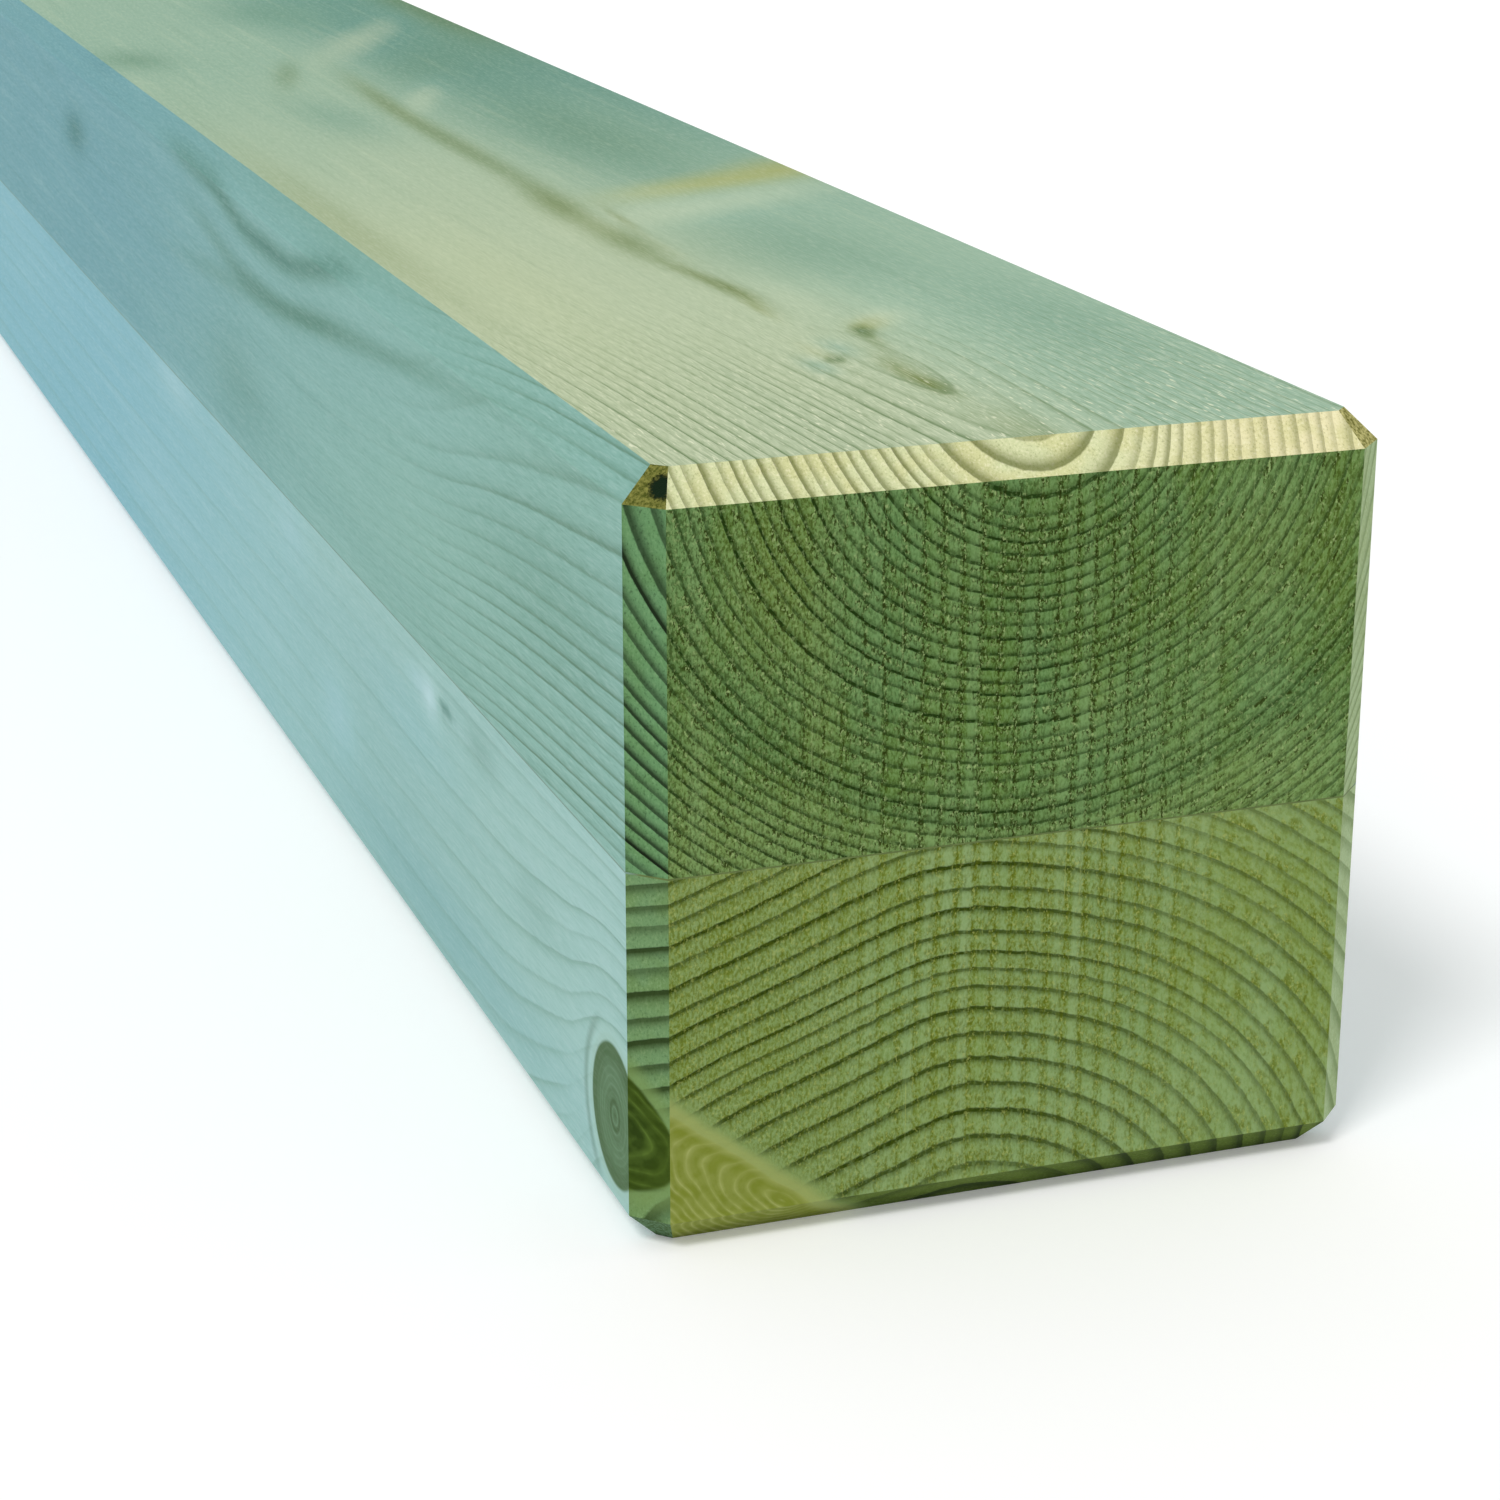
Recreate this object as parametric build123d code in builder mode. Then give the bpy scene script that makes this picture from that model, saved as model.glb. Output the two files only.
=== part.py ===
"""Glulam post of two laminations with a chamfered head, lying on one of its long faces.

The laminations are glued one above the other, so the joint runs level at mid height.
The head end faces -Y and the foot end faces +Y. X runs across the post and Z points up.
The origin is at the middle of the face that the post lies on.
"""

import os

from build123d import *

# Driving dimensions, in millimetres
post_length = 2400.0
post_width = 90.0
lower_thickness = 45.0
upper_thickness = 45.0
glue_thickness = 0.2
edge_chamfer = 3.7
head_chamfer = 3.7
facet_run = 1.5

# Places worked out from them
half_width = post_width / 2
head_y = -post_length / 2
foot_y = post_length / 2
glue_bottom = lower_thickness
glue_top = glue_bottom + glue_thickness
post_height = glue_top + upper_thickness
foot_plane = Plane.XZ.offset(-foot_y)
LEFT, RIGHT = -1, 1
DOWN, UP = -1, 1


def corner_facet(side, level):
    """Plane of the small facet that takes a corner off the head, with its normal outwards.

    It runs from the side face, through the corner of the end face, to the upper or lower face,
    where it reaches facet_run further in than the long-edge chamfer.
    """
    face_z = post_height if level == UP else 0.0
    back_y = head_y + head_chamfer
    on_side = Vector(side * half_width, back_y, face_z - level * edge_chamfer)
    on_end = Vector(side * (half_width - head_chamfer), head_y, face_z - level * head_chamfer)
    on_level = Vector(side * (half_width - edge_chamfer - facet_run), back_y, face_z)
    normal = (on_end - on_side).cross(on_level - on_side) * (-side * level)
    return Plane(origin=on_end, z_dir=normal)


# Upper lamination: head chamfers first, then the two long edges, then the corner facets
with BuildPart() as upper_lamination:
    with BuildSketch(foot_plane):
        with Locations((0, glue_top)):
            Rectangle(post_width, upper_thickness, align=(Align.CENTER, Align.MIN))
    extrude(amount=post_length)
    head_face = upper_lamination.faces().sort_by(Axis.Y)[0]
    glued_edge = head_face.edges().sort_by(Axis.Z)[0]
    chamfer(head_face.edges() - [glued_edge], head_chamfer)
    chamfer(upper_lamination.edges().filter_by(Axis.Y).group_by(Axis.Z)[-1], edge_chamfer)
    for side in (LEFT, RIGHT):
        split(bisect_by=corner_facet(side, UP), keep=Keep.BOTTOM)

# Lower lamination: the same, the other way up
with BuildPart() as lower_lamination:
    with BuildSketch(foot_plane):
        Rectangle(post_width, lower_thickness, align=(Align.CENTER, Align.MIN))
    extrude(amount=post_length)
    head_face = lower_lamination.faces().sort_by(Axis.Y)[0]
    glued_edge = head_face.edges().sort_by(Axis.Z)[-1]
    chamfer(head_face.edges() - [glued_edge], head_chamfer)
    chamfer(lower_lamination.edges().filter_by(Axis.Y).group_by(Axis.Z)[0], edge_chamfer)
    for side in (LEFT, RIGHT):
        split(bisect_by=corner_facet(side, DOWN), keep=Keep.BOTTOM)

# Glue line: the film of set adhesive that fills the joint, planed flush with the wood
with BuildPart() as glue_line:
    with BuildSketch(foot_plane):
        with Locations((0, glue_bottom)):
            Rectangle(post_width, glue_thickness, align=(Align.CENTER, Align.MIN))
    extrude(amount=post_length)
    head_face = glue_line.faces().sort_by(Axis.Y)[0]
    chamfer(head_face.edges().filter_by(Axis.Z), head_chamfer)

upper_lamination.part.label = "upper_lamination"
lower_lamination.part.label = "lower_lamination"
glue_line.part.label = "glue_line"

os.makedirs("parts", exist_ok=True)
export_step(upper_lamination.part, "parts/upper_lamination.step")
export_step(lower_lamination.part, "parts/lower_lamination.step")
export_step(glue_line.part, "parts/glue_line.step")
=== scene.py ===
"""Looks of the glulam post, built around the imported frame.

Each lamination is a dense closed mesh with the growth rings of its own log worked out at every
vertex, so that the same rings run over the end, the chamfers and the long faces. Places are in
millimetres of the post: across from its left face, down from its top face and along from its head.
"""

import math
from types import SimpleNamespace
from typing import NamedTuple

import bmesh
import bpy
import numpy as np
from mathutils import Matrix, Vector


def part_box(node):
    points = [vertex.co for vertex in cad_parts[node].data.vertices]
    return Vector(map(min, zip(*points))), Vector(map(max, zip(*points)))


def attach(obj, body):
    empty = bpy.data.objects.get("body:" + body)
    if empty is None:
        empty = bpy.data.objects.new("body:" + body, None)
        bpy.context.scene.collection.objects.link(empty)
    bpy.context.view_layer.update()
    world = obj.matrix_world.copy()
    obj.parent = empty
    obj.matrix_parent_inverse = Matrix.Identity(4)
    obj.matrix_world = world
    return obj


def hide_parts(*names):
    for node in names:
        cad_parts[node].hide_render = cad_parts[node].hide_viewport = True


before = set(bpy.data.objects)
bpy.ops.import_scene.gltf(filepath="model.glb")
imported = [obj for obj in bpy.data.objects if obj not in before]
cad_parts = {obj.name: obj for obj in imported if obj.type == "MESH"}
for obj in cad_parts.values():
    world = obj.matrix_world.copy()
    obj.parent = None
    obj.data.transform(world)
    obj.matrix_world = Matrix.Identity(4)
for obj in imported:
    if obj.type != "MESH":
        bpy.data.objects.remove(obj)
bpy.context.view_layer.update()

MM = 0.001

# The post, read from the frame
upper_low, upper_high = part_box("upper_lamination")
lower_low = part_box("lower_lamination")[0]
LEFT_X = upper_low.x
HEAD_Y = upper_low.y
TOP_Z = upper_high.z
WIDTH = (upper_high.x - upper_low.x) / MM
LENGTH = (upper_high.y - upper_low.y) / MM
HEIGHT = (upper_high.z - lower_low.z) / MM
THICKNESS = (upper_high.z - upper_low.z) / MM


def chamfer_sizes():
    """Depth of the chamfers and how much further in the corner facet runs, from the frame's corners."""
    corners = [vertex.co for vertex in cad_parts["upper_lamination"].data.vertices]
    on_head = [corner for corner in corners if corner.y < HEAD_Y + 1e-5]
    on_top = [corner for corner in corners if corner.z > TOP_Z - 1e-5]
    depth = (min(corner.x for corner in on_head) - LEFT_X) / MM
    back = min(corner.y for corner in on_top)
    run = (min(corner.x for corner in on_top if corner.y < back + 1e-5) - LEFT_X) / MM - depth
    return depth, run


CHAMFER, FACET_RUN = chamfer_sizes()

# Growth rings: widths from the pith outwards
UPPER_WIDTHS = (
    3.2, 3, 3, 3, 2, 1.6, 1.4, 1.4, 2, 1.4, 1.5, 1.5, 1.6, 1.6, 1.8, 1.7, 1.5, 1.4, 1.4, 2,
    1.8, 1.4, 1.4, 1.9, 2.1, 1.6, 1.6, 1.4, 1.7, 1.5, 1.3, 1.4, 1.6, 1.3, 1.5, 1.5, 1.4, 1.4, 1.5, 1.5,
)
LOWER_WIDTHS = (
    4.5, 4.5, 4.4, 3.7, 3.5, 3.4, 3.2, 3.3, 3, 3, 3, 2.6, 2.1, 2.1, 2.45, 2.75, 2.3, 2.9, 2.5,
    2.3, 2.4, 2.2, 2.4,
) + 5 * (2.3, 2.2, 2.4)


def follow(along, keys):
    """Smooth curve through (along, value) keys."""
    at = np.array([key[0] for key in keys], float)
    value = np.array([key[1] for key in keys], float)
    slope = np.gradient(value, at)
    i = np.clip(np.searchsorted(at, along) - 1, 0, len(at) - 2)
    span = at[i + 1] - at[i]
    t = np.clip((along - at[i]) / span, 0, 1)
    start = (2 * t**3 - 3 * t**2 + 1) * value[i] + (t**3 - 2 * t**2 + t) * span * slope[i]
    end = (3 * t**2 - 2 * t**3) * value[i + 1] + (t**3 - t**2) * span * slope[i + 1]
    return start + end


def ring_number(radius, widths):
    """How many rings lie inside a radius."""
    edges = np.concatenate([[0], np.cumsum(widths)])
    return np.interp(radius, edges, np.arange(len(edges)))


class Knot(NamedTuple):
    """A knot, round on its face. It gives the place where the core comes out, the way it runs into the
    wood, its radius there, how fast that changes, how far the rings bulge round it, and the least radius."""

    root: tuple
    way: tuple
    radius: float
    taper: float
    bulge: float
    least: float = 0.4


HEAD_KNOT = Knot((0, 76.3, 8.6), (1, 0.55, -0.5), 9, -0.33, 0, least=3.3)
UPPER_KNOTS = (
    Knot((90, 20, 620), (-1, -0.55, -0.35), 8, -0.12, 3.5),
    Knot((0, 16, 668), (1, -0.45, -0.4), 6.5, -0.1, 3),
    Knot((90, 24, 1230), (-1, -0.6, -0.4), 5, -0.08, 2.5),
    Knot((0, 31, 1196), (1, -0.75, -0.4), 6.5, -0.1, 3),
    Knot((0, 22, 1790), (1, -0.6, -0.35), 9, -0.12, 3.5),
    Knot((90, 15, 1834), (-1, -0.45, -0.4), 4.5, -0.08, 2),
)
LOWER_KNOTS = (
    HEAD_KNOT,
    Knot((90, 66, 560), (-1, 0.8, -0.4), 7.5, -0.12, 3.5),
    Knot((0, 62, 940), (1, 0.9, -0.4), 8.5, -0.12, 3.5),
    Knot((57, 90.2, 985), (-0.4, 1, -0.4), 6, -0.1, 2.5),
    Knot((90, 70, 1520), (-1, 0.7, -0.35), 6, -0.1, 3),
    Knot((0, 73, 2080), (1, 0.6, -0.4), 8, -0.12, 3.5),
)


# How far down the post the two piths lie: above its top and below its underside
UPPER_PITH = -6.0
LOWER_PITH = 105.7
PITH_ACROSS = 44


def inward(way):
    """The axis that a knot runs in along, and its way for each unit of that axis."""
    way = np.array(way, float)
    axis = int(np.argmax(np.abs(way)))
    return axis, way / way[axis]


def bulges(across, down, along, knots):
    """How far the rings are pushed outwards round the knots."""
    total = np.zeros_like(across)
    place = np.stack([across, down, along], -1)
    for knot in knots:
        if knot.bulge:
            axis, way = inward(knot.way)
            offset = place - np.array(knot.root)
            distance = np.linalg.norm(offset - offset[:, axis, None] * way, axis=1)
            total += knot.bulge * np.exp(-(distance / (2.2 * knot.radius)) ** 2)
    return total


def upper_radius(across, down, along):
    """Distance from the wandering pith of the upper lamination, whose log lay above it."""
    pith = follow(along, [
        (0, 47.2), (50, 46.2), (90, 43.8), (180, 42.3), (290, 43.5), (420, 46), (600, 45),
        (900, 43), (1300, 46), (1800, 44), (2400, 46),
    ])
    swelling = follow(along, [
        (0, 0), (90, 1.7), (175, 3.4), (260, 0.8), (370, 2.4), (480, 0.5), (900, 1.5), (1500, 0), (2400, 1),
    ])
    lift = follow(along, [
        (0, 0), (27, 4.6), (46, 8.6), (58, 6), (70, 3.6), (84, 4.8), (110, 6.5), (200, 6.2), (290, 5),
        (330, 2), (420, 1), (800, 3), (1300, 0), (1900, 2), (2400, 0),
    ])
    sideways = 0.97 * (across - pith)
    below = down - UPPER_PITH
    plain = np.hypot(sideways, below)
    lifted = below - lift * np.exp(-plain / 12)
    radius = np.hypot(sideways, lifted) - swelling * (1 - np.exp(-plain / 10))
    return np.maximum(radius - bulges(across, down, along, UPPER_KNOTS), 0)


def lower_radius(across, down, along):
    """Distance from the pith of the lower lamination, whose log lay below it. At the head its rings are
    drawn down towards the knot, and behind the knot they sink and spread."""
    sunk = follow(along, [
        (0, 0), (8, 0), (14, 0.05), (20, 0.15), (25, 0.23), (32, 0.29), (40, 0.34), (50, 0.385), (70, 0.41),
        (90, 0.42), (110, 0.42), (130, 0.42), (2400, 0.42),
    ])
    down = down - sunk * np.maximum(down - 45.7, 0) * np.exp(-across / 32)
    sideways = across - 41.3
    above = LOWER_PITH - down
    angle = np.degrees(np.arctan2(above, -sideways))
    radius = np.hypot(np.where(sideways < 0, 1.846, 1.052) * sideways, above)
    radius = radius / (1 + 1.143 * np.exp(-((angle - 17.8) / 36.7) ** 2))
    radius = radius - 0.0012 * np.maximum(sideways, 0) ** 2
    radius = radius + 1.2 * np.sin(along / 310) * np.clip((along - 50) / 300, 0, 1)
    return np.maximum(radius - bulges(across, down, along, LOWER_KNOTS), 0)


def undulation(across, down, along, size, seed):
    """Gentle unevenness between -1 and 1 whose swells are about size across."""
    random = np.random.default_rng(seed)
    total = np.zeros_like(across)
    waves = 9
    for _ in range(waves):
        direction = random.normal(size=3)
        direction *= 2 * math.pi / (size * np.linalg.norm(direction)) * random.uniform(0.7, 1.4)
        total += np.sin(across * direction[0] + down * direction[1] + along * direction[2]
                        + random.uniform(0, 2 * math.pi))
    return total / waves**0.5 / 1.4


# Broad tones on the long faces, each a soft spot: along, across the face, half length, half width,
# turn in degrees, and how far it goes lighter, then more olive and then bluer, if it does
TOP_SPOTS = (
    (31, 46.6, 5.5, 1.4, 0, -0.14, 0.95),
    (39, 45.6, 7, 1.2, 2, 0, 0.55),
    (43, 47.6, 9, 1.6, 0, 0, 0.3),
    (6, 47.5, 14, 3.5, 0, 0, 0.3),
    (48, 40.9, 2, 1, 20, -0.85, 0.9),
    (53, 40.2, 4, 1, 0, 0.4, 0.15, -0.2),
    (44.5, 37.6, 4.2, 1.5, 0, 0.25, -0.1, 0.65),
    (54, 43.6, 5, 1.8, 0, 0.05, 0, 0.45),
    (62.4, 50.2, 2.9, 1.3, 14, -0.85, 0.95),
    (57, 49.4, 6, 0.9, 4, -0.1, 0.55),
    (66.5, 52.6, 4, 2, 30, 0.3, 0.3, -0.5),
    (70, 56, 5.5, 3, 30, 0.35),
    (81, 42.9, 7, 0.9, 2, 0, 0.45, -0.2),
    (93, 43.5, 9, 1.6, -4, -0.22, 0.75),
    (106, 42.2, 10, 1.3, -6, -0.12, 0.55),
    (123, 44.8, 9, 1.2, 0, 0.25, 0.1),
    (131, 41.2, 16, 3.1, 0, -0.2, 0.58),
    (164, 40.4, 18, 3.1, 3, -0.2, 0.58),
    (150, 46.2, 13, 0.9, 4, -0.05, 0.45),
    (228, 41.9, 58, 2.5, 0, -0.34, 0.52),
    (288, 43.2, 34, 2.1, 3, -0.15, 0.34),
    (154, 58, 20, 8, 58, 0.36),
    (165, 74, 22, 7, 66, 0.22),
    (172, 60, 13, 6, 56, 0.14, 0.02, -0.4),
    (181, 76, 16, 7.5, 62, 0, 0.1, -0.72),
    (189, 88, 9, 9, 70, -0.05, 0.15, -0.35),
    (265, 30, 26, 7, 0, -0.2, 0, 0.35),
    (286, 51, 24, 3.4, 19, 0.34),
    (375, 60, 42, 6, 24, 0.34, 0.02),
    (325, 34, 19, 2.4, 13, -0.42, 0.2),
    (356, 10, 15, 7, 0, -0.45, 0, 0.35),
    (425, 52, 28, 13, 0, -0.35, 0, 0.55),
    (425, 87, 60, 6, 0, -0.95, 0.15),
    (230, 66, 50, 12, 0, -0.36, 0.05, 0.25),
    (118, 62, 26, 14, 0, -0.26, 0, 0.2),
    (330, 62, 30, 8, 14, -0.3, 0, 0.15),
    (84, 50, 14, 6, 0, 0.14),
    (385, 84, 70, 10, 8, -0.3, 0.05, 0.2),
    (160, 6, 70, 4, 0, 0, 0.3),
    (100, 16, 60, 9, 0, 0.12, 0.02, -0.1),
    (60, 76, 30, 9, 0, -0.18, 0, 0.25),
)
LEFT_SPOTS = (
    (150, 4.6, 20, 1.6, 8, -0.55, 0.45),
    (184, 7.4, 20, 1.6, 0, -0.65, 0.45),
    (215, 5.6, 18, 1.5, -7, -0.5, 0.4),
    (245, 4, 22, 1.6, -3, -0.35, 0.3),
    (155, 13, 24, 1.6, 6, -0.3, 0.35),
    (195, 15, 20, 1.6, 0, -0.32, 0.3),
    (225, 13, 22, 1.6, -6, -0.2, 0.25),
    (110, 9, 50, 1.4, 5, -0.22, 0.3),
    (200, 17, 60, 1.8, 4, -0.16, 0.22),
    (374, 16, 13, 4.2, 4, -0.7, 0, 0.25),
    (212, 34, 22, 8, 0, -0.16, 0.12),
    (30, 22, 34, 10, 0, -0.12, 0.14),
    (272, 47.5, 18, 3.4, 0, 0.4, 0, 0.3),
    (175, 50, 9, 4, 0, 0.28, 0, 0.25),
    (146, 71, 9, 5.2, 0, 0.34, 0, 0.35),
    (89.5, 51, 3.6, 2.6, 0, 1),
    (96, 50.5, 5, 2, 0, 0.4, 0, 0.2),
    (81.5, 50.4, 3.2, 0.8, 4, -0.85, 0.5),
    (64, 50.5, 7, 2.2, 0, -0.2, 0.2),
    (100, 58, 22, 6, 0, 0.1, 0, 0.25),
    (300, 74, 40, 8, 0, 0.18, 0, 0.22),
    (90, 82, 60, 7, 0, -0.12, 0, 0.32),
    (105, 66, 62, 26, 0, -0.13, 0.04),
    (40, 62, 9, 3, 0, -0.12, 0.1),
)

# Tones on the sawn end, given in the same way by places across and down
END_SPOTS = (
    (47, 15, 16, 12, 0, -0.34),
    (17, 13, 6, 11, 0, 0.18, 0.6),
    (7, 33, 1.8, 14, 0, 0.4, 0.1),
    (12, 42.5, 12, 6, 0, 0.55, 0.5),
    (34, 43.8, 13, 2.6, 0, 0.34, 0.35),
    (78, 41, 12, 6, 0, 0.6, 0.25),
    (58, 44, 12, 3, 0, 0.45, 0.3),
    (74, 15, 8, 11, 30, 0.2, 0.42),
    (56, 31, 6, 4, 0, 0.22, 0.25),
    (27, 28, 3, 12, 0, -0.22),
    (21, 30, 2.4, 12, 0, 0.05, 0.35),
    (59, 62, 5, 16, 0, -0.24),
    (44, 58, 12, 7, 0, -0.14),
    (20, 52, 15, 5, 0, -0.1, 0.3),
    (66, 81, 22, 7, 0, 0.32),
    (32, 84, 14, 4, 0, 0.34),
    (8, 60, 6, 10, 0, 0.05, 0.3),
    (76, 60, 9, 12, 0, 0.1, 0.15),
)

# Where a long face hides its ring lines: along, across, half length, half width, turn and, where it
# hides them in part only, how far
TOP_PLAIN = (
    (58, 44.8, 11, 2.6, 0),
    (60, 38, 14, 3.5, 0),
    (75, 58, 10, 5, 20),
    (172, 64, 18, 24, 0),
)
LEFT_PLAIN = (
    (60, 2, 90, 18, 0, 0.55),
    (90, 50.5, 6, 3, 0),
    (146, 71, 10, 6, 0),
    (23, 80, 6.5, 8, 0),
)


def spot_shares(place_along, place_across, spots):
    """How far inside each soft spot a place is, with what the spot then does."""
    for along, across, length, width, turn, *amounts in spots:
        cos, sin = math.cos(math.radians(turn)), math.sin(math.radians(turn))
        a = place_along - along
        b = place_across - across
        inside = np.exp(-((a * cos + b * sin) / length) ** 2 - ((b * cos - a * sin) / width) ** 2)
        yield inside, amounts


def soften(place_along, place_across, spots):
    """Tones of a face: light, olive and blue, summed from its soft spots."""
    tones = np.zeros((len(place_along), 3))
    for inside, amounts in spot_shares(place_along, place_across, spots):
        tones[:, :len(amounts)] += inside[:, None] * np.array(amounts)
    return tones


def hidden(place_along, place_across, spots):
    """How far the ring lines of a face are hidden."""
    total = np.zeros(len(place_along))
    for inside, amounts in spot_shares(place_along, place_across, spots):
        total = np.maximum(total, inside * (amounts[0] if amounts else 1))
    return total


# Saw marks run down the end at this spacing
SAW_SPACING = 2.28

# Mesh: how finely each part of a lamination is divided
FINE = 0.36
COARSE = 1.25
SLOPE_STEPS = 14
EDGE_STEPS = 3
FADE_ROWS = 2
ROW_STEPS = ((20, 1.0), (110, 2.5), (480, 5.0), (LENGTH, 16.0))
END, HEAD_LEFT, HEAD_BROAD, HEAD_RIGHT, FACET_LEFT, FACET_RIGHT = range(6)
LEFT_FACE, LEFT_EDGE, BROAD_FACE, RIGHT_EDGE, RIGHT_FACE, FOOT, GLUED = range(6, 13)


def even(start, stop, step):
    """Evenly spaced places from start to stop, about one step apart."""
    return np.linspace(start, stop, max(int(round((stop - start) / step)), 1) + 1)


class Board(NamedTuple):
    """A lamination to build: its broad face on top or below, the rings of its log, and its knots."""

    name: str
    on_top: bool
    radius_of: object
    pith: float
    widths: tuple
    knots: tuple
    seed: int

    def to_down(self, deep):
        """Depth from the broad face as a place down the post."""
        return deep if self.on_top else HEIGHT - deep


def rows_along(knots):
    """Places of the rows of vertices along the post: close at the head and at knots."""
    rows = []
    place = CHAMFER + FACET_RUN + 0.6
    for limit, step in ROW_STEPS:
        rows.append(even(place, limit, step)[:-1])
        place = limit
    rows.append([LENGTH])
    for knot in knots:
        if knot.bulge:
            middle = knot.root[2]
            rows.append(np.arange(middle - 30, middle + 30, 3.0))
    rows = np.sort(np.concatenate(rows))
    apart = np.concatenate([[True], np.diff(rows) > 0.4])
    return rows[apart]


def points(across, deep, along):
    """Stacks three arrays or numbers into places."""
    return np.stack(np.broadcast_arrays(across, deep, along), -1).astype(float)


class Shell:
    """Collects patches of a lamination in places of across, depth from its broad face, and along."""

    def __init__(self):
        self.places = []
        self.faces = []
        self.patches = []
        self.count = 0

    def add(self, rows):
        """Adds rows of places and returns their vertex numbers."""
        rows = np.atleast_3d(rows)
        numbers = self.count + np.arange(rows.shape[0] * rows.shape[1]).reshape(rows.shape[:2])
        self.places.append(rows.reshape(-1, 3))
        self.count += numbers.size
        return numbers

    def grid(self, rows, patch):
        """Adds a patch of quads from an array of rows of places."""
        n = self.add(rows)
        quads = np.stack([n[:-1, :-1], n[:-1, 1:], n[1:, 1:], n[1:, :-1]], -1).reshape(-1, 4)
        self.faces += quads.tolist()
        self.patches += [patch] * len(quads)
        return n

    def zip(self, first, first_at, second, second_at, patch):
        """Joins two rows of vertices that have different spacing with triangles."""
        i = j = 0
        while i < len(first) - 1 or j < len(second) - 1:
            ahead = j == len(second) - 1 or (i < len(first) - 1 and first_at[i + 1] <= second_at[j + 1])
            tip = first[i + 1] if ahead else second[j + 1]
            self.faces.append([int(first[i]), int(tip), int(second[j])])
            self.patches.append(patch)
            i, j = (i + 1, j) if ahead else (i, j + 1)


def relief(across, down, along, radius, board):
    """Depth of the sawn surface below true: rings, saw marks and a little unevenness."""
    rings = 0.5 + 0.5 * np.cos(2 * math.pi * ring_number(radius, board.widths))
    saw = 0.5 + 0.5 * np.cos(2 * math.pi * (across / SAW_SPACING - 0.5))
    uneven = np.clip(0.5 + 0.5 * undulation(across, down, along, 14, board.seed), 0, 1)
    return 0.04 * rings + 0.05 * saw**3 * saw_strength(across, down) + 0.06 * uneven


def saw_strength(across, down):
    """How plainly the saw marks show on the end: most in the middle of the upper lamination."""
    middle = np.exp(-((across - 45) / 24) ** 4)
    beside = 0.6 * np.exp(-((across - 21) / 8) ** 2) * np.clip((down - 8) / 14, 0, 1)
    return np.clip(0.15 + np.maximum(middle, beside) * np.clip(1.0 - (down - 45) / 90, 0.5, 1), 0, 1)


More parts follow.
